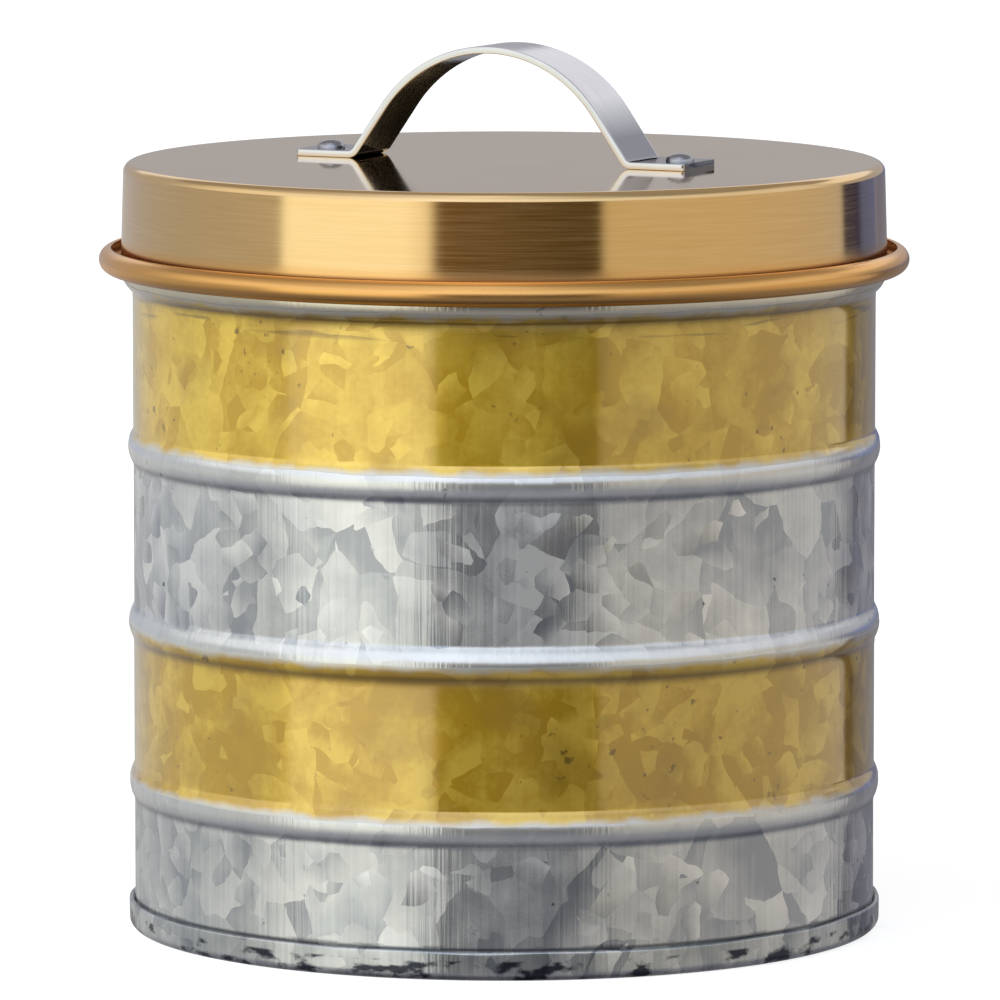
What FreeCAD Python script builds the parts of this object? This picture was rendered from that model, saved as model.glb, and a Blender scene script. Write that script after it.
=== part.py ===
import FreeCAD, Part
import math
import os

# Round galvanised steel canister with a slip-over lid and a riveted strap handle.
# Units are millimetres. The canister stands on the plane Z = 0 with its axis on Z.
# The handle runs along X, and the wall's lock seam is at the back, on +Y.

V = FreeCAD.Vector
AXIS_Z = V(0, 0, 1)

# ---- driving dimensions: jar ----
wall_radius = 64.0            # outside of the plain wall
sheet = 0.28                  # galvanised sheet of the wall and the base
seam_gap = 0.05               # play between folded layers
seam_height = 5.1             # the base seam, folded up against the wall
corner_radius = 1.6           # outside of the rounded bottom corner
flange_tip = 4.55             # top of the wall's flange inside the base seam
fold_tip = 1.8                # bottom of the base's fold between flange and wall
recess_radius = 57.0          # inside this the base is pressed up off the table
recess_height = 0.9
recess_ramp = 1.2             # width of the slope round the recess
compound_width = 1.9          # sealing compound in the inside corner
compound_height = 1.8
compound_edge = 0.25          # its thickness where it thins out
mouth_height = 130.2
hem_depth = 5.0               # the mouth's edge is folded down inside and pressed flat
side_seam_thickness = 0.56    # two more layers of sheet on the inside
side_seam_width = 4.6
side_seam_ends = (6.0, 124.0)

# Rolled beads, from the bottom up: height of the middle, width, depth.
BEADS = (
    (25.4, 5.8, 0.85),
    (53.2, 5.8, 0.9),
    (83.5, 5.8, 0.95),
    (113.6, 6.4, 1.8),        # the shoulder just under the lid's rim
)

# ---- driving dimensions: painted bands, from height to height ----
coat = 0.06
LOWER_BAND = (26.2, 53.0)
UPPER_BAND = (85.0, 112.1)

# ---- driving dimensions: lid ----
lid_sheet = 0.4
lid_top = 132.5
edge_radius = 1.6             # outside of the rounded top edge
edge_centre = (64.0, lid_top - edge_radius)
curl_centre = (67.75, 115.8)
curl_radius = 2.1             # outside of the rolled rim
curl_end = 445.0              # degrees; the lip ends just short of the top of the roll
seal_inner_radius = 61.0
seal_outer_radius = 63.9
seal_clearance = 0.05

# ---- driving dimensions: handle and rivets ----
strap_width = 12.7
strap_thickness = 1.2
handle_height = 20.1          # top of the arch above the lid
arch_radius = 25.4            # outside of the arch
leg_angle = 55.0              # degrees; slope of the straight legs
bend_radius = 1.2             # inside of the bend where a leg meets its tab
tab_end = 37.2                # from the middle of the handle
tab_corner_radius = 0.6
rivet_offset = 33.5
shank_radius = 1.5
hole_radius = 1.6
head_radius = 2.45
head_height = 1.4
tail_radius = 2.1
tail_height = 1.1
washer_radius = 4.0
washer_thickness = 0.6


# ---- outlines lie in the XZ plane, as (radius, height) ----
def on_circle(centre, radius, degrees):
    angle = math.radians(degrees)
    return (centre[0] + radius * math.cos(angle), centre[1] + radius * math.sin(angle))


def arc(centre, radius, start, end):
    """Arc edge from one angle in degrees to another."""
    points = [on_circle(centre, radius, angle) for angle in (start, (start + end) / 2, end)]
    return Part.Arc(*[V(r, 0, z) for r, z in points]).toShape()


def outline(*steps):
    """Closed face. A step is a corner (r, z) or an arc edge, and straight lines join them."""
    edges = []
    corners = []
    for step in steps:
        if isinstance(step, Part.Shape):
            corners.append((step.firstVertex().Point, step.lastVertex().Point, step))
        else:
            corners.append((V(step[0], 0, step[1]), V(step[0], 0, step[1]), None))
    for index, (start, end, edge) in enumerate(corners):
        if edge:
            edges.append(edge)
        next_start = corners[(index + 1) % len(corners)][0]
        if not end.isEqual(next_start, 1e-6):
            edges.append(Part.LineSegment(end, next_start).toShape())
    return Part.Face(Part.Wire(edges))


def turned(face, degrees=360.0):
    return face.revolve(V(0, 0, 0), AXIS_Z, degrees)


def dome_circle(base_radius, height):
    """Radius of a shallow dome, and the angle of its rim above level at the dome's centre."""
    radius = (base_radius ** 2 + height ** 2) / (2 * height)
    return radius, math.degrees(math.acos(base_radius / radius))


# ---- the wall's line, which the wall, its seam and its painted bands all follow ----
def bead_circle(width, depth):
    radius = (width ** 2 / 4 + depth ** 2) / (2 * depth)
    return wall_radius + depth - radius, radius


def bead_spans(offset):
    """Each bead's middle, circle and half width, on a line offset outward from the wall."""
    for middle, width, depth in BEADS:
        centre_radius, radius = bead_circle(width, depth)
        radius += offset
        half = math.sqrt(radius ** 2 - (wall_radius + offset - centre_radius) ** 2)
        yield middle, centre_radius, radius, half


def radius_at(offset, height):
    for middle, centre_radius, radius, half in bead_spans(offset):
        if abs(height - middle) < half:
            return centre_radius + math.sqrt(radius ** 2 - (height - middle) ** 2)
    return wall_radius + offset


def wall_line(offset, start, end):
    """Steps along the wall from one height to another, upward or downward."""
    low, high = sorted((start, end))
    arcs = []
    for middle, centre_radius, radius, half in bead_spans(offset):
        limits = [max(low, middle - half), min(high, middle + half)]
        if limits[0] < limits[1]:
            angles = [math.degrees(math.asin((z - middle) / radius)) for z in limits]
            if end < start:
                angles.reverse()
            arcs.append(arc((centre_radius, middle), radius, *angles))
    if end < start:
        arcs.reverse()
    return [(radius_at(offset, start), start)] + arcs + [(radius_at(offset, end), end)]


# ---- jar ----
layer = sheet + seam_gap
flange_outside = wall_radius + 2 * layer
flange_inside = flange_outside - sheet
seam_outside = wall_radius + 3 * layer
wall_inside = wall_radius - sheet


def make_jar_wall():
    """Beaded tube: flanged outward at the bottom, folded inward at the mouth, lock seamed."""
    flange_bend = ((wall_inside + flange_outside) / 2, corner_radius)
    bend_outside = (flange_outside - wall_inside) / 2
    hem_bend = (wall_inside, mouth_height - sheet)
    section = outline(
        (flange_outside, flange_tip),
        (flange_inside, flange_tip),
        arc(flange_bend, bend_outside - sheet, 0, -180),
        *wall_line(0, corner_radius, mouth_height - sheet),
        arc(hem_bend, sheet, 0, 180),
        (wall_inside - sheet, mouth_height - hem_depth),
        *wall_line(-sheet, mouth_height - hem_depth, corner_radius),
        arc(flange_bend, bend_outside, 180, 360),
    )
    bottom, top = side_seam_ends
    strip = outline(
        *wall_line(-sheet / 2, bottom, top),
        *wall_line(-sheet - side_seam_thickness, top, bottom),
    )
    strip_angle = math.degrees(side_seam_width / wall_radius)
    side_seam = turned(strip, strip_angle)
    side_seam.rotate(V(0, 0, 0), AXIS_Z, 90 - strip_angle / 2)
    return turned(section).fuse(side_seam).removeSplitter()


def make_base_pan():
    """Round base: its edge turns up outside the wall's flange and folds down behind it."""
    corner = (seam_outside - corner_radius, corner_radius)
    fold_outside = (seam_outside - wall_radius - seam_gap) / 2
    fold_bend = (seam_outside - fold_outside, seam_height - fold_outside)
    fold_inside = wall_radius + seam_gap
    return turned(outline(
        (0, recess_height + sheet),
        (recess_radius - recess_ramp, recess_height + sheet),
        (recess_radius, sheet),
        arc(corner, corner_radius - sheet, 270, 360),
        arc(fold_bend, fold_outside - sheet, 0, 180),
        (fold_inside + sheet, fold_tip),
        (fold_inside, fold_tip),
        arc(fold_bend, fold_outside, 180, 0),
        arc(corner, corner_radius, 360, 270),
        (recess_radius, 0),
        (recess_radius - recess_ramp, recess_height),
        (0, recess_height),
    ))


def make_seam_compound():
    """Sealing ring in the inside corner, between the base and the wall."""
    return turned(outline(
        (wall_inside - compound_width, sheet),
        (seam_outside - corner_radius, sheet),
        (wall_inside, sheet + seam_gap),
        (wall_inside, sheet + compound_height),
        (wall_inside - compound_edge, sheet + compound_height),
        (wall_inside - compound_width, sheet + compound_edge),
    ))


def make_coat(band):
    """Thin painted band that follows the wall over its beads."""
    low, high = band
    return turned(outline(*wall_line(coat, low, high), *wall_line(0, high, low)))


# ---- lid ----
lid_underside = lid_top - lid_sheet
rivet_places = {"left": -rivet_offset, "right": rivet_offset}


def drilled(shape, bottom, thickness):
    """The shape with both rivet holes through a level sheet of it."""
    for place in rivet_places.values():
        shape = shape.cut(Part.makeCylinder(hole_radius, 2 * thickness, V(place, 0, bottom - thickness / 2)))
    return shape


def make_lid_cap():
    """Drawn cap: flat top, slightly tapered skirt and an open rolled rim, with two rivet holes."""
    across = curl_centre[0] - edge_centre[0]
    down = curl_centre[1] - edge_centre[1]
    reach = curl_radius + edge_radius - lid_sheet
    taper = math.degrees(math.atan2(down, across) + math.acos(reach / math.hypot(across, down)))
    lid = turned(outline(
        (0, lid_top),
        arc(edge_centre, edge_radius, 90, taper),
        arc(curl_centre, curl_radius - lid_sheet, 180 + taper, curl_end),
        arc(curl_centre, curl_radius, curl_end, 180 + taper),
        arc(edge_centre, edge_radius - lid_sheet, taper, 90),
        (0, lid_underside),
    ))
    return drilled(lid, lid_underside, lid_sheet)


def make_lid_seal():
    """Flat sealing ring between the folded mouth edge and the underside of the lid."""
    bottom = mouth_height + seal_clearance
    top = lid_underside - seal_clearance
    return turned(outline(
        (seal_inner_radius, bottom),
        (seal_outer_radius, bottom),
        (seal_outer_radius, top),
        (seal_inner_radius, top),
    ))


def make_handle_strap():
    """Flat strap bent into an arch with straight legs and two level tabs."""
    arch_centre = (0.0, lid_top + handle_height - arch_radius)
    leg = math.radians(leg_angle)
    outward = (math.sin(leg), math.cos(leg))
    middle_radius = arch_radius - strap_thickness / 2
    tab_middle = lid_top + strap_thickness / 2
    drop = arch_centre[1] + middle_radius * outward[1] - tab_middle
    corner = middle_radius * outward[0] + drop / math.tan(leg)
    middle_bend = bend_radius + strap_thickness / 2
    bend_place = corner + middle_bend * math.tan(leg / 2)
    bend_height = tab_middle + middle_bend
    leg_end = 270 - leg_angle

    def bend(side, radius, start, end):
        if side < 0:
            start, end = 180 - start, 180 - end
        return arc((side * bend_place, bend_height), radius, start, end)

    tab_top = lid_top + strap_thickness
    arch_end = 90 - leg_angle
    profile = outline(
        (-tab_end, tab_top),
        bend(-1, bend_radius, 270, leg_end),
        arc(arch_centre, arch_radius, 180 - arch_end, arch_end),
        bend(1, bend_radius, leg_end, 270),
        (tab_end, tab_top),
        (tab_end, lid_top),
        bend(1, bend_radius + strap_thickness, 270, leg_end),
        arc(arch_centre, arch_radius - strap_thickness, arch_end, 180 - arch_end),
        bend(-1, bend_radius + strap_thickness, leg_end, 270),
        (-tab_end, lid_top),
    )
    strap = profile.extrude(V(0, strap_width, 0))
    strap.translate(V(0, -strap_width / 2, 0))
    corners = [
        edge for edge in strap.Edges
        if abs(edge.BoundBox.XLength) + abs(edge.BoundBox.YLength) < 1e-6
        and abs(abs(edge.CenterOfMass.x) - tab_end) < 1e-6
    ]
    strap = strap.makeFillet(tab_corner_radius, corners)
    return drilled(strap, lid_top, strap_thickness)


def make_rivet(place):
    """Solid rivet: domed head on the strap, shank through strap, lid and washer, domed tail."""
    head_seat = lid_top + strap_thickness
    tail_seat = lid_underside - washer_thickness
    head_curve, head_rim = dome_circle(head_radius, head_height)
    tail_curve, tail_rim = dome_circle(tail_radius, tail_height)
    head_centre = (0.0, head_seat + head_height - head_curve)
    tail_centre = (0.0, tail_seat - tail_height + tail_curve)
    rivet = turned(outline(
        (shank_radius, head_seat),
        arc(head_centre, head_curve, head_rim, 90),
        arc(tail_centre, tail_curve, -90, -tail_rim),
        (shank_radius, tail_seat),
    ))
    rivet.translate(V(place, 0, 0))
    return rivet


def make_washer(place):
    """Small washer that the rivet is closed over, under the lid."""
    bottom = V(place, 0, lid_underside - washer_thickness)
    disc = Part.makeCylinder(washer_radius, washer_thickness, bottom)
    return disc.cut(Part.makeCylinder(hole_radius, washer_thickness, bottom))


def export(name, shape):
    if not shape.isValid() or len(shape.Solids) != 1:
        raise ValueError("not one valid solid: " + name)
    shape.Solids[0].exportStep("parts/" + name + ".step")


os.makedirs("parts", exist_ok=True)
export("jar_wall", make_jar_wall())
export("base_pan", make_base_pan())
export("seam_compound", make_seam_compound())
export("lower_gold_coat", make_coat(LOWER_BAND))
export("upper_gold_coat", make_coat(UPPER_BAND))
export("lid_cap", make_lid_cap())
export("lid_seal", make_lid_seal())
export("handle_strap", make_handle_strap())
for side, offset in rivet_places.items():
    export("rivet_" + side, make_rivet(offset))
    export("rivet_washer_" + side, make_washer(offset))
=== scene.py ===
import math

import bpy
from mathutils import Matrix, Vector, noise


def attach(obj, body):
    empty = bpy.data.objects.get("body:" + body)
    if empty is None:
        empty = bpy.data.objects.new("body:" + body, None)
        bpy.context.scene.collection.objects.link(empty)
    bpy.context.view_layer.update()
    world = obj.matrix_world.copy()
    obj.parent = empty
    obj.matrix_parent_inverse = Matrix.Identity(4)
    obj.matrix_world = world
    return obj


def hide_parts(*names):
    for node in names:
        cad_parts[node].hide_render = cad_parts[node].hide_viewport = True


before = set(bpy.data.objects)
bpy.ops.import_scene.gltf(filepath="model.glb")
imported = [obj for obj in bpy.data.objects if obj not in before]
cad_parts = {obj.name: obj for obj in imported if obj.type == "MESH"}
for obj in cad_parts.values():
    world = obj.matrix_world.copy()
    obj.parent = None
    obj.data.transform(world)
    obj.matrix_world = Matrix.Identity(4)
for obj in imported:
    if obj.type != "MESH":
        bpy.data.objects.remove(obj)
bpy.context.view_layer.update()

# ---- sizes in millimetres, as the design has them ----
MM = 0.001
SEGMENTS = 240                # steps round every large turned piece

wall_radius = 64.0
sheet = 0.28
layer = sheet + 0.05          # a folded layer and the play beside it
corner_radius = 1.6
flange_top = 4.55             # free edge of the wall's flange, inside the base seam
seam_height = 5.1
fold_end = 1.8                # free edge of the base, inside the seam
panel_rise = 0.9              # how far the base's middle stands up, inside a soft step
step_start, step_end = 55.8, 57.0
compound_fillet = 1.9
mouth_height = 130.2
hem_depth = 5.0
hem_bevel = 0.1
bend_gap = 0.5                # along the sheet, from a bend to the wall's next point
side_seam_width = 4.6
side_seam_depth = 0.56
side_seam_ends = (6.0, 124.0)
crease_blend = 0.35           # half width of the soft crease beside a bead
# Each rolled bead: its middle's height, its width up the wall and how far it stands out.
BEADS = ((25.4, 5.8, 0.85), (53.2, 5.8, 0.9), (83.5, 5.8, 0.95), (113.6, 6.4, 1.8))
LOWER_BAND = (26.2, 53.0)
UPPER_BAND = (85.0, 112.1)
coat_inside, coat_outside = 0.012, 0.06

lid_sheet = 0.4
lid_top = 132.5
edge_radius = 1.6
edge_centre = (64.0, lid_top - edge_radius)
curl_centre = (67.75, 115.8)
curl_radius = 2.1
curl_end = 445.0              # degrees
top_rings = (0, 30, 60, 63.6)
seal_hole, seal_outside = 61.0, 63.9
seal_play = 0.05

strap_width = 12.7
strap_thickness = 1.2
arch_radius = 25.4
handle_height = 20.1
leg_angle = 55.0
bend_radius = 1.2
tab_end = 37.2
tab_corner = 0.6
rivet_offset = 33.5
rivet_head = (2.45, 1.4)      # radius and height
rivet_tail = (2.1, 1.1)
shank_radius = 1.5
washer_hole, washer_radius = 1.6, 4.0
washer_thickness = 0.6


# ---- meshes ----
def on_circle(centre, radius, degrees):
    angle = math.radians(degrees)
    return centre[0] + radius * math.cos(angle), centre[1] + radius * math.sin(angle)


def arc_points(centre, radius, start, end, steps):
    """Points on a circle from one angle in degrees to another, both ends included."""
    return [on_circle(centre, radius, start + (end - start) * i / steps) for i in range(steps + 1)]


def finish_mesh(name, points, faces, sharp_degrees=40.0):
    """Mesh object in metres from points in millimetres, smooth but for its sharp edges."""
    mesh = bpy.data.meshes.new(name)
    mesh.from_pydata([Vector(p) * MM for p in points], [], faces)
    mesh.validate()
    mesh.shade_smooth()
    mesh.set_sharp_from_angle(angle=math.radians(sharp_degrees))
    piece = bpy.data.objects.new(name, mesh)
    bpy.context.scene.collection.objects.link(piece)
    return piece


def lathe(name, outline, segments=SEGMENTS, centre_x=0.0, place=None):
    """Closed outline of (radius, height) turned round Z. place(angle, r, z) may move each point."""
    points = []
    rings = []
    for r, z in outline:
        if r < 1e-6:
            rings.append([len(points)] * segments)
            points.append((centre_x, 0.0, z))
            continue
        rings.append(list(range(len(points), len(points) + segments)))
        for step in range(segments):
            angle = 2 * math.pi * step / segments
            out, up = place(angle, r, z) if place else (r, z)
            points.append((centre_x + out * math.cos(angle), out * math.sin(angle), up))
    faces = []
    for index, ring in enumerate(rings):
        following = rings[(index + 1) % len(rings)]
        for step in range(segments):
            after = (step + 1) % segments
            corners = [ring[step], following[step], following[after], ring[after]]
            face = list(dict.fromkeys(corners))
            if len(face) > 2:
                faces.append(face)
    return finish_mesh(name, points, faces)


def sweep(name, points, count):
    """Closed piece with flat ends, from sections of count points that follow one another."""
    faces = []
    for near in range(0, len(points) - count, count):
        for k in range(count):
            after = (k + 1) % count
            faces.append((near + k, near + after, near + count + after, near + count + k))
    faces.append(tuple(range(count - 1, -1, -1)))
    faces.append(tuple(range(len(points) - count, len(points))))
    return finish_mesh(name, points, faces)


def ripple(angle, height, size, seed):
    """Smooth irregular wave round the can, from about -1 to 1; size is in millimetres."""
    spot = Vector((wall_radius * math.cos(angle), wall_radius * math.sin(angle), height)) / size
    return 2 * noise.noise(spot + Vector((seed, 0, 0)))


# ---- the wall's line ----
def bead_rise(z):
    """How far the beads, as arcs of circles, stand out of the wall at a height."""
    for middle, width, depth in BEADS:
        radius = (width ** 2 / 4 + depth ** 2) / (2 * depth)
        if abs(z - middle) < width / 2:
            return math.sqrt(radius ** 2 - (z - middle) ** 2) - radius + depth
    return 0.0


def wall_rise(z):
    """How far the wall stands out at a height, with its creases softened."""
    samples = [bead_rise(z + crease_blend * k / 4) for k in range(-4, 5)]
    return sum(samples) / len(samples)


def wall_heights(start, end):
    """Heights along the wall, close together over the beads."""
    close, wide, least, margin = 0.3, 1.5, 0.1, 1.0
    low, high = sorted((start, end))
    heights = [low, high]
    z = low
    while z < high:
        near_bead = any(abs(z - middle) < width / 2 + margin for middle, width, _ in BEADS)
        z += close if near_bead else wide
        if z < high - least:
            heights.append(z)
    return sorted(heights, reverse=end < start)


def wall_points(offset, start, end):
    """Points up or down the wall, at an offset from its outside."""
    return [(wall_radius + offset + wall_rise(z), z) for z in wall_heights(start, end)]


# ---- jar pieces ----
flange_outside = wall_radius + 2 * layer
seam_outside = wall_radius + 3 * layer
wall_inside = wall_radius - sheet
base_corner = (seam_outside - corner_radius, corner_radius)


def make_jar_wall():
    """Wall with its flange turned out at the foot and its mouth folded in."""
    wall_start = corner_radius + bend_gap
    hem_end = mouth_height - hem_depth
    flange_bend = ((wall_inside + flange_outside) / 2, corner_radius)
    bend_outside = (flange_outside - wall_inside) / 2
    outline = [(flange_outside, flange_top), (flange_outside - sheet, flange_top)]
    outline += arc_points(flange_bend, bend_outside - sheet, 0, -180, 8)
    outline += wall_points(0.0, wall_start, mouth_height - sheet - bend_gap)
    outline += arc_points((wall_inside, mouth_height - sheet), sheet, 0, 180, 10)
    outline += [(wall_inside - sheet, hem_end), (wall_inside, hem_end - hem_bevel)]
    outline += wall_points(-sheet, hem_end - bend_gap, wall_start)
    outline += arc_points(flange_bend, bend_outside, 180, 360, 12)
    return lathe("jar_wall_sheet", outline)


def make_side_seam():
    """Folded strip inside the wall, over the lock seam at the back."""
    half_angle = side_seam_width / wall_radius / 2
    outer = wall_points(-sheet, *side_seam_ends)
    inner = wall_points(-sheet - side_seam_depth, *side_seam_ends)
    # The strip's section, in shares of its half width and of its depth.
    across = [(-1.0, 0.0), (-0.94, 0.85), (-0.85, 1.0), (0.85, 1.0), (0.94, 0.85), (1.0, 0.0)]
    points = []
    for (outer_r, z), (inner_r, _) in zip(outer, inner):
        for side, depth in across:
            angle = math.pi / 2 + side * half_angle
            r = outer_r + (inner_r - outer_r) * depth
            points.append((r * math.cos(angle), r * math.sin(angle), z))
    return sweep("jar_lock_seam", points, len(across))


def panel_points(lift):
    """Face of the base from its middle, down its soft step, to the flat ring it stands on."""
    points = [(0, panel_rise + lift), (step_start - 0.4, panel_rise + lift)]
    for k in range(5):
        r = step_start + (step_end - step_start) * k / 4
        points.append((r, panel_rise * (1 + math.cos(math.pi * k / 4)) / 2 + lift))
    return points + [(step_end + 0.6, lift)]


def make_base_pan():
    """Base with its edge folded up round the wall's flange, a little uneven."""
    fold_outside = (seam_outside - wall_radius - layer + sheet) / 2
    fold_bend = (seam_outside - fold_outside, seam_height - fold_outside)
    fold_inside = wall_radius + layer - sheet
    ripple_start = 2.0
    outline = panel_points(sheet)
    outline += arc_points(base_corner, corner_radius - sheet, 270, 360, 12)
    outline += arc_points(fold_bend, fold_outside - sheet, 0, 180, 10)
    outline += [(fold_inside + sheet, fold_end), (fold_inside, fold_end)]
    outline += arc_points(fold_bend, fold_outside, 180, 0, 16)
    outline += [(seam_outside, z) for z in (4.0, 3.2, 2.4)]
    outline += arc_points(base_corner, corner_radius, 360, 270, 16)
    outline += reversed(panel_points(0.0))

    def place(angle, r, z):
        if r < wall_radius or z < ripple_start:
            return r, z
        share = (z - ripple_start) / (seam_height - ripple_start)
        dent = 0.07 * ripple(angle, 0, size=9.0, seed=3.0) if r > flange_outside else 0.0
        sink = 0.16 * ripple(angle, 0, size=14.0, seed=7.0) - 0.08
        return r + share * dent, z + share * sink

    return lathe("base_pan_sheet", outline, place=place)


def make_compound():
    """Uneven fillet of sealing compound in the corner between wall and base."""
    wall_side, base_side = wall_inside - 0.02, sheet + 0.01
    middle = (wall_inside - compound_fillet, sheet + compound_fillet)
    outline = arc_points(middle, compound_fillet, 270, 355, 10)
    outline += [(wall_side, sheet + 1.75), (wall_side, sheet + 0.1)]
    outline += [(wall_inside - 0.4, base_side), (middle[0] - 0.05, base_side)]

    def place(angle, r, z):
        if z <= sheet + 0.05:
            return r, z
        share = (wall_inside - r) / compound_fillet
        return r + 0.12 * share * ripple(angle, z, size=4.0, seed=5.0), z

    return lathe("seam_compound_bead", outline, place=place)


def make_coat(name, band):
    """Skin of lacquer over a band of the wall, beads included, with slightly wavy edges."""
    low, high = band
    middle = (low + high) / 2
    edge_reach = 1.5
    heights = wall_heights(low, high)
    outline = [(coat_outside, z) for z in heights] + [(coat_inside, z) for z in reversed(heights)]

    def place(angle, offset, z):
        near_edge = max(0.0, abs(z - middle) - (high - low) / 2 + edge_reach) / edge_reach
        z += near_edge * 0.16 * ripple(angle, z, size=11.0, seed=1.0)
        return wall_radius + wall_rise(z) + offset, z

    return lathe(name, outline, place=place)


# ---- lid pieces ----
def make_lid_cap():
    """Flat top, tapered skirt and a rim rolled outwards, open underneath."""
    across = curl_centre[0] - edge_centre[0]
    down = curl_centre[1] - edge_centre[1]
    reach = curl_radius + edge_radius - lid_sheet
    taper = math.degrees(math.atan2(down, across) + math.acos(reach / math.hypot(across, down)))
    outline = [(r, lid_top) for r in top_rings]
    outline += arc_points(edge_centre, edge_radius, 90, taper, 20)
    outline += arc_points(curl_centre, curl_radius - lid_sheet, 180 + taper, curl_end, 56)
    lip_centre = on_circle(curl_centre, curl_radius - lid_sheet / 2, curl_end)
    outline += arc_points(lip_centre, lid_sheet / 2, curl_end + 180, curl_end, 8)[1:-1]
    outline += arc_points(curl_centre, curl_radius, curl_end, 180 + taper, 56)
    outline += arc_points(edge_centre, edge_radius - lid_sheet, taper, 90, 16)
    outline += [(r, lid_top - lid_sheet) for r in reversed(top_rings)]
    return lathe("lid_cap_sheet", outline, segments=360)


def make_lid_seal():
    """Flat foam ring between the mouth and the lid, with eased edges."""
    bottom, top = mouth_height + seal_play, lid_top - lid_sheet - seal_play
    ease = 0.25
    outline = []
    for r, z, start in (
        (seal_hole + ease, bottom + ease, 180), (seal_outside - ease, bottom + ease, 270),
        (seal_outside - ease, top - ease, 0), (seal_hole + ease, top - ease, 90),
    ):
        outline += arc_points((r, z), ease, start, start + 90, 5)
    return lathe("lid_seal_foam", outline)


def strap_path():
    """Middle line of the strap in the XZ plane, as (x, z, slope in radians below level)."""
    arch_z = lid_top + handle_height - arch_radius
    leg = math.radians(leg_angle)
    middle_radius = arch_radius - strap_thickness / 2
    tab_middle = lid_top + strap_thickness / 2
    drop = arch_z + middle_radius * math.cos(leg) - tab_middle
    corner = middle_radius * math.sin(leg) + drop / math.tan(leg)
    bend = bend_radius + strap_thickness / 2
    bend_x = corner + bend * math.tan(leg / 2)
    half = []
    for k in range(25):
        tilt = leg * k / 24
        half.append((middle_radius * math.sin(tilt), arch_z + middle_radius * math.cos(tilt), tilt))
    for k in range(13):
        tilt = leg * (12 - k) / 12
        half.append((bend_x - bend * math.sin(tilt), tab_middle + bend - bend * math.cos(tilt), tilt))
    length = tab_end - bend_x
    half += [(bend_x + length * k / 4, tab_middle, 0.0) for k in (1, 2, 3)]
    for k in range(7):
        half.append((tab_end - tab_corner * (1 - math.sin(math.pi * k / 12)), tab_middle, 0.0))
    return [(-x, z, -tilt) for x, z, tilt in reversed(half[1:])] + half


def make_handle_strap():
    """Flat strap with eased long edges and rounded tab corners."""
    ease = 0.16
    flat_end = 0.35
    half_thick = strap_thickness / 2
    points = []
    for x, z, tilt in strap_path():
        to_corner = max(0.0, tab_corner - (tab_end - abs(x)))
        inset = tab_corner - math.sqrt(tab_corner ** 2 - to_corner ** 2)
        half_wide = strap_width / 2 - inset
        section = []
        for side_y, side_n, start in ((1, 1, 0), (-1, 1, 90), (-1, -1, 180), (1, -1, 270)):
            middle = (side_y * (half_wide - ease), side_n * (half_thick - ease))
            rounded = arc_points(middle, ease, start, start + 90, 4)
            flat = (side_y * (half_wide - flat_end), side_n * half_thick)
            section += [flat] + rounded if side_y * side_n < 0 else rounded + [flat]
        for y, n in section:
            points.append((x + n * math.sin(tilt), y, z + n * math.cos(tilt)))
    return sweep("handle_strap_steel", points, len(section))


def dome(seat, radius, height, side, steps=14):
    """Points of a shallow dome with an eased rim, from its rim to its middle."""
    points = []
    for k in range(steps):
        angle = math.pi / 2 * k / steps
        points.append((radius * math.cos(angle) ** 0.85, seat + side * height * math.sin(angle)))
    return points + [(0.0, seat + side * height)]


def make_rivet(name, x):
    """Rivet with its head on the strap and its tail spread on the washer."""
    head_seat = lid_top + strap_thickness
    tail_seat = lid_top - lid_sheet - washer_thickness
    head = dome(head_seat, *rivet_head, 1)
    tail = dome(tail_seat, *rivet_tail, -1)
    outline = [(shank_radius, head_seat)] + head + list(reversed(tail)) + [(shank_radius, tail_seat)]
    return lathe(name, outline, segments=64, centre_x=x)


def make_washer(name, x):
    """Washer under the lid, with the outer edge of its lower face rounded."""
    top = lid_top - lid_sheet
    bottom = top - washer_thickness
    outline = [(washer_hole, top), (washer_hole, bottom)]
    for inset, rise in ((0.15, 0.0), (0.04, 0.04), (0.0, 0.15)):
        outline.append((washer_radius - inset, bottom + rise))
    outline.append((washer_radius, top))
    return lathe(name, outline, segments=64, centre_x=x)


# ---- node materials ----
def node(tree, kind, inputs=None, **settings):
    """New shader node, with its inputs linked or set."""
    made = tree.nodes.new("ShaderNode" + kind)
    for key, value in settings.items():
        setattr(made, key, value)
    for key, value in (inputs or {}).items():
        if isinstance(value, bpy.types.NodeSocket):
            tree.links.new(value, made.inputs[key])
        else:
            made.inputs[key].default_value = value
    return made


def calc(tree, operation, *values):
    return node(tree, "Math", dict(enumerate(values)), operation=operation).outputs[0]


def vector(tree, operation, *values):
    return node(tree, "VectorMath", dict(enumerate(values)), operation=operation).outputs[0]


def number(tree, operation, *values):
    """Vector maths that ends in a number, such as a length."""
    return node(tree, "VectorMath", dict(enumerate(values)), operation=operation).outputs["Value"]


def remap(tree, value, low, high, to_low=0.0, to_high=1.0):
    inputs = {"Value": value, "From Min": low, "From Max": high, "To Min": to_low, "To Max": to_high}
    return node(tree, "MapRange", inputs).outputs[0]


def fade(tree, length, start, end, to_low=0.0, to_high=1.0):
    """remap of a length in metres, with its start and end in millimetres."""
    return remap(tree, length, start * MM, end * MM, to_low, to_high)


def mix(tree, share, first, second):
    """Number between two numbers."""
    return node(tree, "Mix", {0: share, 2: first, 3: second}).outputs[0]


def blend(tree, share, first, second):
    """Colour between two colours."""
    return node(tree, "Mix", {0: share, 6: first, 7: second}, data_type="RGBA").outputs[2]


def grain(tree, where, scale, detail=2.0, stretch=(1, 1, 1)):
    """Noise value; stretch squeezes the pattern along an axis."""
    spot = vector(tree, "MULTIPLY", where, stretch)
    return node(tree, "TexNoise", {"Vector": spot, "Scale": scale, "Detail": detail}).outputs[0]


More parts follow.
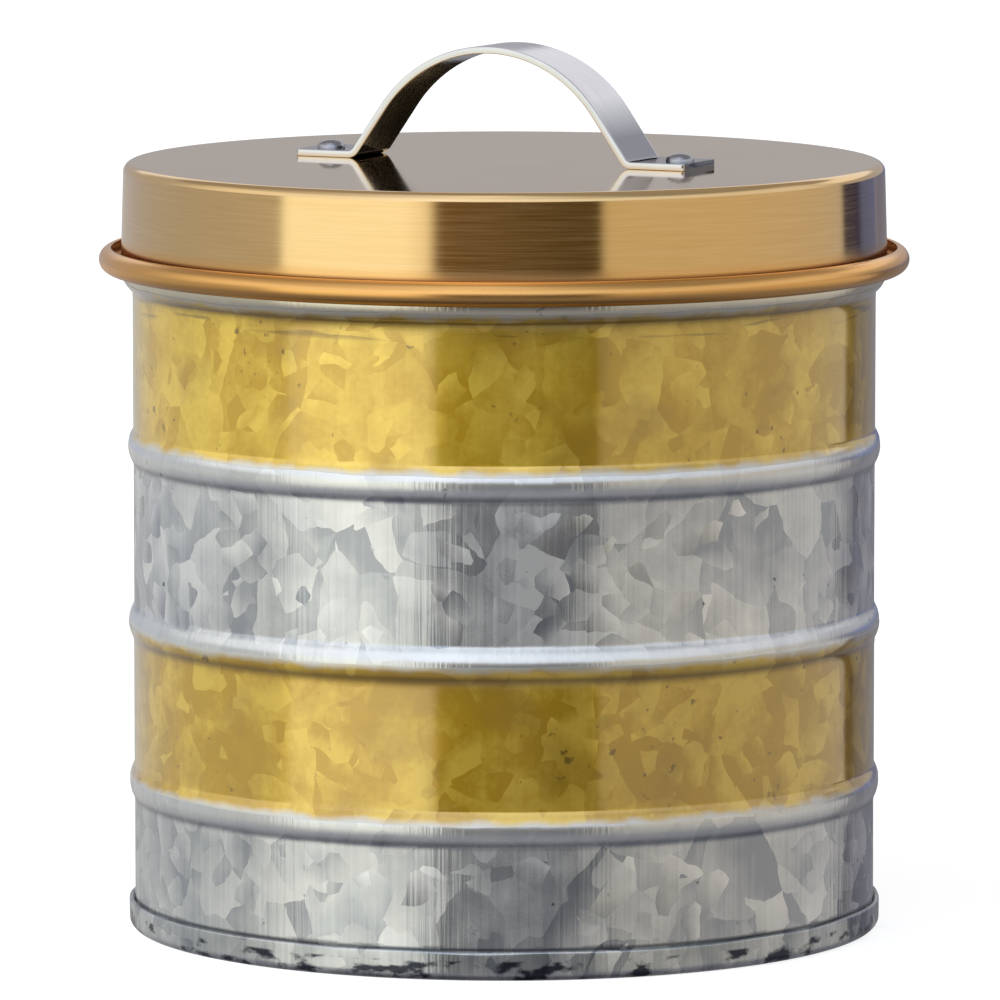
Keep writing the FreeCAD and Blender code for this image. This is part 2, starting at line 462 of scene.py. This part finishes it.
def new_material(name):
    """Material, its node tree, its shader and the place on the piece in metres."""
    material = bpy.data.materials.new(name)
    material.use_nodes = True
    tree = material.node_tree
    where = node(tree, "TexCoord").outputs["Object"]
    return material, tree, tree.nodes["Principled BSDF"], where


def connect(tree, shader, **sockets):
    """Links or sets the shader's sockets; a keyword's underscores are the name's spaces."""
    for key, value in sockets.items():
        socket = shader.inputs[key.replace("_", " ")]
        if isinstance(value, bpy.types.NodeSocket):
            tree.links.new(value, socket)
        else:
            socket.default_value = value


def height_of(tree, where):
    return node(tree, "SeparateXYZ", {0: where}).outputs[2]


def bumped(tree, height, distance, normal=None):
    """Normal with the relief of a pattern, distance metres deep."""
    inputs = {"Height": height, "Distance": distance, "Strength": 1.0}
    if normal is not None:
        inputs["Normal"] = normal
    return node(tree, "Bump", inputs).outputs[0]


def spangle(tree, where):
    """Zinc crystals: a tone from 0 to 1, and a random direction for each crystal."""
    broad = node(tree, "TexNoise", {"Vector": where, "Scale": 45.0, "Detail": 1.0}).outputs["Color"]
    ragged = node(tree, "TexNoise", {"Vector": where, "Scale": 260.0, "Detail": 1.0}).outputs["Color"]
    spot = where
    for wave, reach in ((broad, 0.0105), (ragged, 0.0016)):
        shift = vector(tree, "SUBTRACT", wave, (0.5, 0.5, 0.5))
        spot = vector(tree, "ADD", spot, vector(tree, "MULTIPLY", shift, (reach, reach, reach)))
    layers = []
    for scale in (74.0, 128.0, 230.0):
        cells = node(tree, "TexVoronoi", {"Vector": spot, "Scale": scale}, feature="F1")
        direction = vector(tree, "SUBTRACT", cells.outputs["Color"], (0.5, 0.5, 0.5))
        inside = vector(tree, "SUBTRACT", spot, cells.outputs["Position"])
        slope = number(tree, "DOT_PRODUCT", inside, direction)
        parts = node(tree, "SeparateXYZ", {0: cells.outputs["Color"]})
        level = remap(tree, parts.outputs[0], 0.0, 1.0, 0.38, 0.66)
        tone = calc(tree, "ADD", level, calc(tree, "MULTIPLY", slope, scale * 1.5))
        layers.append((tone, parts.outputs[1], direction))
    tone, _, facing = layers[0]
    for (finer_tone, pick, finer_facing), rarity in zip(layers[1:], (0.60, 0.76)):
        chosen = remap(tree, pick, rarity, rarity + 0.04)
        tone = mix(tree, chosen, tone, finer_tone)
        facing = blend(tree, chosen, facing, finer_facing)
    cloud = grain(tree, where, 170.0, 4.0)
    tone = calc(tree, "ADD", tone, remap(tree, cloud, 0.3, 0.7, -0.2, 0.2))
    return tone, facing


def tilted_normal(tree, facing, amount):
    """Surface normal leaned a little, crystal by crystal."""
    lean = vector(tree, "MULTIPLY", facing, amount)
    normal = node(tree, "NewGeometry").outputs["Normal"]
    return vector(tree, "NORMALIZE", vector(tree, "ADD", normal, lean))


def near_heights(tree, height, marks):
    """1 close to any of the (height, reach, soft edge) marks in millimetres, fading to 0."""
    nearest = 0.0
    for middle, reach, edge in marks:
        away = calc(tree, "ABSOLUTE", calc(tree, "SUBTRACT", height, middle * MM))
        nearest = calc(tree, "MAXIMUM", nearest, fade(tree, away, reach + edge, reach - edge))
    return nearest


def on_beads(tree, height):
    """1 on the rolled beads, where the forming rolls have burnished the metal."""
    marks = [(middle, width / 2 - 0.5, 0.4) for middle, width, _ in BEADS]
    return near_heights(tree, height, marks)


def under_bead_shade(tree, height):
    """1 in the crease under each bead, where shade is painted."""
    marks = [(middle - width / 2 + 0.25, 0.5, 0.5) for middle, width, _ in BEADS]
    return near_heights(tree, height, marks)


def most(tree, first, *others):
    """Largest of some values."""
    for other in others:
        first = calc(tree, "MAXIMUM", first, other)
    return first


def product(tree, first, *others):
    """Some values multiplied together."""
    for other in others:
        first = calc(tree, "MULTIPLY", first, other)
    return first


def make_zinc(name, light, dark, lean, blotches_below, blotch_strength):
    """Galvanised steel: zinc spangle, upright rolling lines, specks, dark blotches up to a height in
    millimetres, painted shade in the creases, and a painted warm reflection of the copper rim on
    the shoulder."""
    material, tree, shader, where = new_material(name)
    height = height_of(tree, where)
    tone, facing = spangle(tree, where)
    lines = grain(tree, where, 1300.0, 2.0, (1, 1, 0.02))
    tone = calc(tree, "ADD", tone, remap(tree, lines, 0.3, 0.7, -0.14, 0.14))
    burnished = on_beads(tree, height)
    tone = mix(tree, product(tree, burnished, 0.7), tone, 0.9)
    colour = blend(tree, remap(tree, tone, -0.1, 1.1), dark, light)

    # Painted warm reflection of the copper rim on the shoulder bead.
    painted_rim_reflection = product(tree, near_heights(tree, height, [(114.0, 2.75, 1.25)]), 0.7)
    colour = blend(tree, painted_rim_reflection, colour, (0.97, 0.88, 0.64, 1))
    # Darker towards the bottom of the jar.
    darker_towards_bottom = fade(tree, height, 40, 20, 0.0, 0.12)
    colour = blend(tree, darker_towards_bottom, colour, (0.20, 0.20, 0.20, 1))

    specks = remap(tree, grain(tree, where, 330.0, 3.0), 0.72, 0.76, 0.0, 0.7)
    # Dark blotches, only low down, up to a given height.
    blotches = remap(tree, grain(tree, where, 220.0, 4.0, (0.7, 0.7, 1.5)), 0.51, 0.59)
    low_down = fade(tree, height, blotches_below, blotches_below * 0.9)
    # Painted shade in a thin dark line just above the base seam.
    above_seam = fade(tree, height, seam_height + 0.6, seam_height + 0.2)
    seam_edge = fade(tree, height, seam_height - 0.3, seam_height)
    seam_top_shade = product(tree, above_seam, seam_edge, 0.75)
    # Painted shade in the crease under each bead.
    bead_crease_shade = product(tree, under_bead_shade(tree, height), 0.35)
    low_blotches = product(tree, blotches, low_down, blotch_strength)
    # Specks, low blotches and the painted crease shade all darken the zinc.
    specks_blotches_and_shade = most(tree, specks, low_blotches, seam_top_shade, bead_crease_shade)
    colour = blend(tree, specks_blotches_and_shade, colour, (0.02, 0.027, 0.045, 1))

    rough = mix(tree, burnished, remap(tree, tone, 0.1, 0.9, 0.20, 0.33), 0.22)
    normal = tilted_normal(tree, facing, remap(tree, burnished, 0.0, 1.0, lean, 0.3 * lean))
    normal = bumped(tree, lines, 0.00006, normal)
    connect(tree, shader, Base_Color=colour, Metallic=0.8, Roughness=rough, Normal=normal)
    return material


def depth_in_bands(tree, height):
    """How far a height lies inside the nearer gold band, in metres; negative outside both."""
    depths = []
    for low, high in (LOWER_BAND, UPPER_BAND):
        above = calc(tree, "SUBTRACT", height, low * MM)
        depths.append(calc(tree, "MINIMUM", above, calc(tree, "SUBTRACT", high * MM, height)))
    return most(tree, *depths)


def make_gold_lacquer():
    """Tinted glossy lacquer over the same zinc spangle, thin at the bands' edges."""
    material, tree, shader, where = new_material("gold_lacquer_over_zinc")
    height = height_of(tree, where)
    low_band = fade(tree, height, 70, 60)
    tone, facing = spangle(tree, where)
    lines = grain(tree, where, 1300.0, 2.0, (1, 1, 0.02))
    tone = calc(tree, "ADD", tone, remap(tree, lines, 0.3, 0.7, -0.05, 0.05))
    tone = calc(tree, "ADD", tone, remap(tree, grain(tree, where, 900.0, 4.0), 0.3, 0.7, -0.12, 0.12))
    darkest = remap(tree, low_band, 0.0, 1.0, 0.12, 0.26)
    lightest = remap(tree, low_band, 0.0, 1.0, 0.98, 0.84)
    tint = remap(tree, tone, darkest, lightest)
    colour = blend(tree, tint, (0.65, 0.39, 0.014, 1), (0.96, 0.655, 0.077, 1))
    stains = remap(tree, grain(tree, where, 75.0, 5.0), 0.51, 0.66, 0.0, 0.42)
    colour = blend(tree, stains, colour, (0.42, 0.24, 0.03, 1))
    colour = blend(tree, product(tree, low_band, 0.25), colour, (0.32, 0.16, 0.0, 1))

    clusters = remap(tree, grain(tree, where, 60.0), 0.45, 0.65, 0.0, 0.10)
    specks = calc(tree, "ADD", grain(tree, where, 520.0, 3.0), clusters)
    specks = remap(tree, specks, 0.73, 0.79, 0.0, 0.7)
    scuffs = remap(tree, grain(tree, where, 700.0, 2.0, (0.07, 0.07, 1)), 0.56, 0.64, 0.0, 0.6)
    scuffs = product(tree, scuffs, near_heights(tree, height, [(109.0, 1.4, 0.6)]))
    # Dark specks and scuffs, and painted shade in the creases under the beads.
    marks = most(tree, specks, scuffs, product(tree, under_bead_shade(tree, height), 0.65))
    colour = blend(tree, marks, colour, (0.14, 0.075, 0.008, 1))

    ragged = remap(tree, grain(tree, where, 200.0), 0.3, 0.7, -0.0005, 0.0003)
    depth = calc(tree, "ADD", depth_in_bands(tree, height), ragged)
    colour = blend(tree, fade(tree, depth, -0.1, 1.1), (0.64, 0.62, 0.55, 1), colour)
    normal = tilted_normal(tree, facing, (0.04, 0.04, 0.04))
    connect(tree, shader, Base_Color=colour, Metallic=0.42, Roughness=0.13, Normal=normal)
    connect(tree, shader, Coat_Weight=0.9, Coat_Roughness=0.03, Coat_IOR=2.0)
    return material


def make_copper():
    """Brushed plating: mirror-like top, brass toned skirt, redder rolled rim, and painted shade in
    the trough behind the rim and under it."""
    material, tree, shader, where = new_material("brushed_copper_brass")
    height = height_of(tree, where)
    on_rim = fade(tree, height, 120.0, 117.6)
    on_top = fade(tree, height, 132.1, 132.45)
    brushing = grain(tree, where, 3400.0, 2.0, (0.02, 0.02, 1))
    fine = remap(tree, brushing, 0.3, 0.7)
    colour = blend(tree, on_rim, (0.97, 0.68, 0.34, 1), (0.99, 0.555, 0.185, 1))
    shade = blend(tree, on_rim, (0.91, 0.62, 0.29, 1), (0.95, 0.505, 0.155, 1))
    colour = blend(tree, fine, shade, colour)

    radius = number(tree, "LENGTH", vector(tree, "MULTIPLY", where, (1, 1, 0)))
    behind_rim = fade(tree, radius, 67.8, 67.0)
    trough = product(tree, behind_rim, fade(tree, height, 118.4, 117.6))
    # Painted shade, dark brown, in the trough behind the rim and on the rim's underside.
    painted_trough_shade = product(tree, most(tree, trough, fade(tree, height, 114.4, 113.8)), 0.8)
    colour = blend(tree, painted_trough_shade, colour, (0.20, 0.07, 0.03, 1))

    rough = mix(tree, on_rim, remap(tree, fine, 0.0, 1.0, 0.10, 0.14), 0.26)
    rough = mix(tree, on_top, rough, 0.06)
    tangent = node(tree, "Tangent", direction_type="RADIAL", axis="Z").outputs[0]
    connect(tree, shader, Base_Color=colour, Metallic=1.0, Roughness=rough)
    connect(tree, shader, Normal=bumped(tree, brushing, 0.000003), Tangent=tangent)
    connect(tree, shader, Anisotropic=0.5, Anisotropic_Rotation=0.25)
    return material


def make_bright_steel(name, tint, rough_low, rough_high, stretch, relief, painted_foot_reflection):
    """Bright steel with fine brushing, and a painted dark reflection at the strap's feet as strong as
    the last argument.
    """
    material, tree, shader, where = new_material(name)
    lines = grain(tree, where, 2200.0, 2.0, stretch)
    shade = [0.86 * part for part in tint[:3]] + [1]
    colour = blend(tree, remap(tree, lines, 0.3, 0.7), shade, tint)
    place = node(tree, "SeparateXYZ", {0: where})
    # Painted dark reflection on the strap's flat faces near its feet.
    foot = fade(tree, place.outputs[2], 144.0, 137.5, 0.0, painted_foot_reflection)
    flat = fade(tree, calc(tree, "ABSOLUTE", place.outputs[1]), 6.2, 5.9)
    colour = blend(tree, product(tree, foot, flat), colour, (0.10, 0.105, 0.13, 1))
    rough = remap(tree, lines, 0.3, 0.7, rough_low, rough_high)
    normal = bumped(tree, lines, relief)
    connect(tree, shader, Base_Color=colour, Metallic=1.0, Roughness=rough, Normal=normal)
    return material


def make_soft(name, light, dark, scale, relief):
    """Matte foam or compound with fine pores."""
    material, tree, shader, where = new_material(name)
    pores = grain(tree, where, scale, 4.0)
    colour = blend(tree, remap(tree, pores, 0.35, 0.6), dark, light)
    rough = remap(tree, pores, 0.3, 0.7, 0.75, 0.6)
    connect(tree, shader, Base_Color=colour, Roughness=rough, Normal=bumped(tree, pores, relief))
    return material


zinc = make_zinc(
    "galvanised_sheet", light=(0.97, 0.975, 0.94, 1), dark=(0.45, 0.475, 0.51, 1),
    lean=0.10, blotches_below=6.0, blotch_strength=0.7,
)
base_zinc = make_zinc(
    "galvanised_base_sheet", light=(0.86, 0.87, 0.84, 1), dark=(0.32, 0.35, 0.38, 1),
    lean=0.05, blotches_below=3.6, blotch_strength=0.95,
)
gold = make_gold_lacquer()
copper = make_copper()
strap_steel = make_bright_steel(
    "polished_strap", tint=(0.80, 0.80, 0.82, 1), rough_low=0.08, rough_high=0.14,
    stretch=(0.04, 1, 0.04), relief=0.00001, painted_foot_reflection=0.8,
)
rivet_metal = make_bright_steel(
    "rivet_steel", tint=(0.50, 0.51, 0.54, 1), rough_low=0.20, rough_high=0.28,
    stretch=(1, 1, 1), relief=0.000002, painted_foot_reflection=0.0,
)
foam = make_soft(
    "seal_foam", light=(0.80, 0.79, 0.74, 1), dark=(0.62, 0.61, 0.56, 1), scale=1400.0, relief=0.00012
)
compound = make_soft(
    "sealing_compound", light=(0.52, 0.49, 0.42, 1), dark=(0.36, 0.34, 0.29, 1), scale=500.0,
    relief=0.0002,
)


# ---- pieces, each on its body ----
def put(piece, material, body, slot, *nodes):
    """Gives a piece its material and body, and hides the CAD nodes it stands for; slot is not used.
    """
    piece.data.materials.append(material)
    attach(piece, body)
    if nodes:
        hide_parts(*nodes)


put(make_jar_wall(), zinc, "jar", "galvanised_sheet", "jar_wall")
put(make_side_seam(), zinc, "jar", "galvanised_sheet")
put(make_base_pan(), base_zinc, "jar", "galvanised_base", "base_pan")
put(make_compound(), compound, "jar", "sealing_compound", "seam_compound")
put(make_coat("lower_gold_band", LOWER_BAND), gold, "jar", "gold_lacquer", "lower_gold_coat")
put(make_coat("upper_gold_band", UPPER_BAND), gold, "jar", "gold_lacquer", "upper_gold_coat")
put(make_lid_cap(), copper, "lid", "copper_lid", "lid_cap")
put(make_lid_seal(), foam, "seal", "seal_foam", "lid_seal")
put(make_handle_strap(), strap_steel, "lid", "polished_strap", "handle_strap")
for side, x in (("left", -rivet_offset), ("right", rivet_offset)):
    put(make_rivet("rivet_" + side + "_steel", x), rivet_metal, "lid", "rivet_steel", "rivet_" + side)
    washer = make_washer("washer_" + side + "_steel", x)
    put(washer, rivet_metal, "lid", "rivet_steel", "rivet_washer_" + side)


# ---- floor, light and camera ----
CAMERA_AZIMUTH = 26.3         # degrees round from straight in front, towards +X
CAMERA_DISTANCE = 1.744       # metres from the axis, level
CAMERA_HEIGHT = 0.2765
CAMERA_PITCH = 6.633          # degrees down
CAMERA_LENS = 365.6           # millimetres on a 36 mm sensor


def make_card(name, corners, grey, glow):
    """Flat matte sheet of the studio, with a glow of its own."""
    mesh = bpy.data.meshes.new(name)
    mesh.from_pydata(corners, [], [tuple(range(len(corners)))])
    card = bpy.data.objects.new(name, mesh)
    bpy.context.scene.collection.objects.link(card)
    material, tree, shader, _ = new_material(name)
    connect(tree, shader, Base_Color=(grey, grey, grey, 1), Roughness=0.9, Specular_IOR_Level=0.0)
    connect(tree, shader, Emission_Color=(1, 1, 1, 1), Emission_Strength=glow)
    mesh.materials.append(material)
    card.visible_diffuse = False
    return card


def make_floor():
    half = 12.0
    corners = [(-half, -half, 0), (half, -half, 0), (half, half, 0), (-half, half, 0)]
    floor = make_card("pale_floor", corners, grey=0.45, glow=0.80)
    floor.visible_glossy = False


def make_black_card():
    """Black card behind the handle, seen only in the metal's second and later reflections."""
    behind = 0.15
    outline = (
        (-80, 158), (80, 158), (80, 200), (40, 200), (2, 213), (-18, 213), (-33, 206), (-52, 192),
        (-80, 168),
    )
    corners = [(x * MM, behind, z * MM) for x, z in outline]
    card = make_card("black_card", corners, grey=0.01, glow=0.0)
    card.visible_camera = False
    card.visible_shadow = False
    tree = card.data.materials[0].node_tree
    again = calc(tree, "GREATER_THAN", node(tree, "LightPath").outputs["Ray Depth"], 1.5)
    connect(tree, tree.nodes["Principled BSDF"], Alpha=again)


# Light in the panels round the studio at the horizon. Each stop is an angle in degrees, round to
# the right from the camera's side, and a colour.
PANELS = (
    (-180, (0.45, 0.46, 0.51)), (-150, (0.42, 0.44, 0.54)), (-112, (0.42, 0.42, 0.43)),
    (-71, (0.46, 0.44, 0.39)), (-68.5, (1.06, 1.09, 0.99)), (-30, (1.06, 1.08, 0.98)),
    (-23, (0.92, 0.88, 0.74)), (-19.5, (0.12, 0.07, 0.02)), (28.5, (0.06, 0.035, 0.0)),
    (30, (0.57, 0.50, 0.35)), (75, (0.57, 0.50, 0.38)), (110, (0.52, 0.48, 0.43)),
    (122, (0.47, 0.47, 0.49)), (123.5, (0.02, 0.02, 0.07)), (133, (0.02, 0.02, 0.09)),
    (137, (0.11, 0.15, 0.36)), (149, (0.11, 0.15, 0.38)), (151, (0.25, 0.27, 0.42)),
    (153, (0.15, 0.17, 0.30)), (180, (0.15, 0.17, 0.30)),
)
# The same from about 4 degrees under the horizon down.
BELOW = (
    (-180, (0.53, 0.52, 0.50)), (-150, (0.50, 0.49, 0.48)), (-112, (0.44, 0.44, 0.42)),
    (-71, (0.48, 0.46, 0.41)), (-68.5, (1.00, 0.985, 0.86)), (-30, (1.00, 0.985, 0.86)),
    (-23, (0.90, 0.88, 0.80)), (-19.5, (0.13, 0.11, 0.085)), (-8, (0.05, 0.05, 0.055)),
    (4, (0.12, 0.115, 0.11)), (16, (0.035, 0.035, 0.045)), (28.5, (0.075, 0.075, 0.075)),
    (30, (0.46, 0.435, 0.38)), (60, (0.47, 0.44, 0.40)), (100, (0.57, 0.54, 0.50)),
    (131, (0.58, 0.56, 0.54)), (133, (0.07, 0.055, 0.06)), (138, (0.07, 0.055, 0.06)),
    (141, (0.17, 0.17, 0.20)), (153, (0.21, 0.21, 0.24)), (180, (0.26, 0.26, 0.28)),
)
# The same from a few degrees above the horizon up, and from about 30 degrees up.
ABOVE = (
    (-180, (0.41, 0.41, 0.44)), (-125, (0.45, 0.45, 0.46)), (-95, (0.85, 0.85, 0.84)),
    (-20, (1.08, 1.14, 1.28)), (30, (0.80, 0.86, 0.98)), (60, (0.72, 0.74, 0.80)),
    (110, (0.70, 0.70, 0.74)), (125, (0.41, 0.41, 0.44)), (180, (0.41, 0.41, 0.44)),
)
HIGH = (
    (-180, (0.32, 0.30, 0.29)), (-125, (0.32, 0.30, 0.29)), (-95, (0.50, 0.49, 0.49)),
    (-15, (0.88, 0.94, 1.08)), (25, (0.60, 0.64, 0.72)), (60, (0.28, 0.29, 0.30)),
    (105, (0.28, 0.28, 0.28)), (125, (0.32, 0.30, 0.29)), (180, (0.32, 0.30, 0.29)),
)


def panel_ring(tree, around, stops):
    """Light of one ring of panels at an angle in degrees."""
    made = node(tree, "ValToRGB", {0: remap(tree, around, -180, 180)})
    elements = made.color_ramp.elements
    while len(elements) < len(stops):
        elements.new(0.5)
    for element, (angle, _) in zip(elements, stops):
        element.position = (angle + 180) / 360
    for element, (_, colour) in zip(elements, stops):
        element.color = (*colour, 1)
    return made.outputs[0]


def make_studio_light():
    """Panels round the object and light above them, seen only in reflections and as light."""
    world = bpy.data.worlds.new("studio")
    bpy.context.scene.world = world
    world.use_nodes = True
    tree = world.node_tree
    background = tree.nodes["Background"]
    toward = node(tree, "TexCoord").outputs["Generated"]
    turn = math.radians(CAMERA_AZIMUTH)
    to_camera = number(tree, "DOT_PRODUCT", toward, (math.sin(turn), -math.cos(turn), 0))
    to_right = number(tree, "DOT_PRODUCT", toward, (math.cos(turn), math.sin(turn), 0))
    around = calc(tree, "DEGREES", calc(tree, "ARCTAN2", to_right, to_camera))
    height = calc(tree, "DEGREES", calc(tree, "ARCSINE", height_of(tree, toward)))
    behind = remap(tree, calc(tree, "ABSOLUTE", around), 115, 128)

    light = panel_ring(tree, around, PANELS)
    light = blend(tree, remap(tree, height, -3.5, -5), light, panel_ring(tree, around, BELOW))
    light = blend(tree, remap(tree, height, -12, -34), light, (0.22, 0.22, 0.25, 1))
    light = blend(tree, remap(tree, height, -45, -70), light, (0.05, 0.05, 0.06, 1))

    # Behind the object the upper rings start lower than in front.
    above = most(tree, remap(tree, height, 3, 9), product(tree, remap(tree, height, -1, 2), behind))
    light = blend(tree, above, light, panel_ring(tree, around, ABOVE))
    window = most(tree, remap(tree, around, 115, 128), remap(tree, around, -150, -165))
    window = product(tree, remap(tree, height, 13, 16), window)
    light = blend(tree, window, light, (0.86, 0.86, 0.90, 1))
    high = most(tree, remap(tree, height, 30, 45), product(tree, remap(tree, height, 29, 32), behind))
    light = blend(tree, high, light, panel_ring(tree, around, HIGH))

    seen = node(tree, "LightPath").outputs["Is Camera Ray"]
    tree.links.new(blend(tree, seen, light, (1, 1, 1, 1)), background.inputs["Color"])


def make_key_lamp():
    """Broad soft lamp from the left and above; it doesn't show in the metal."""
    data = bpy.data.lights.new("key_lamp", "AREA")
    data.shape = "DISK"
    data.size = 1.6
    data.energy = 50.0
    data.color = (0.84, 0.93, 1.0)
    lamp = bpy.data.objects.new("key_lamp", data)
    lamp.location = (-1.18, -1.48, 1.48)
    aim = Vector((0, 0, 0.05)) - lamp.location
    lamp.rotation_euler = aim.to_track_quat("-Z", "Y").to_euler()
    lamp.visible_glossy = False
    bpy.context.scene.collection.objects.link(lamp)


def make_camera():
    data = bpy.data.cameras.new("camera")
    data.sensor_width = 36.0
    data.lens = CAMERA_LENS
    data.shift_x = -0.0042
    data.clip_start = 0.05
    data.clip_end = 100.0
    camera = bpy.data.objects.new("camera", data)
    turn = math.radians(CAMERA_AZIMUTH)
    camera.location = (
        CAMERA_DISTANCE * math.sin(turn), -CAMERA_DISTANCE * math.cos(turn), CAMERA_HEIGHT
    )
    camera.rotation_euler = (math.radians(90 - CAMERA_PITCH), 0, turn)
    bpy.context.scene.collection.objects.link(camera)
    bpy.context.scene.camera = camera


make_floor()
make_black_card()
make_studio_light()
make_key_lamp()
make_camera()
bpy.context.scene.view_settings.view_transform = "Standard"
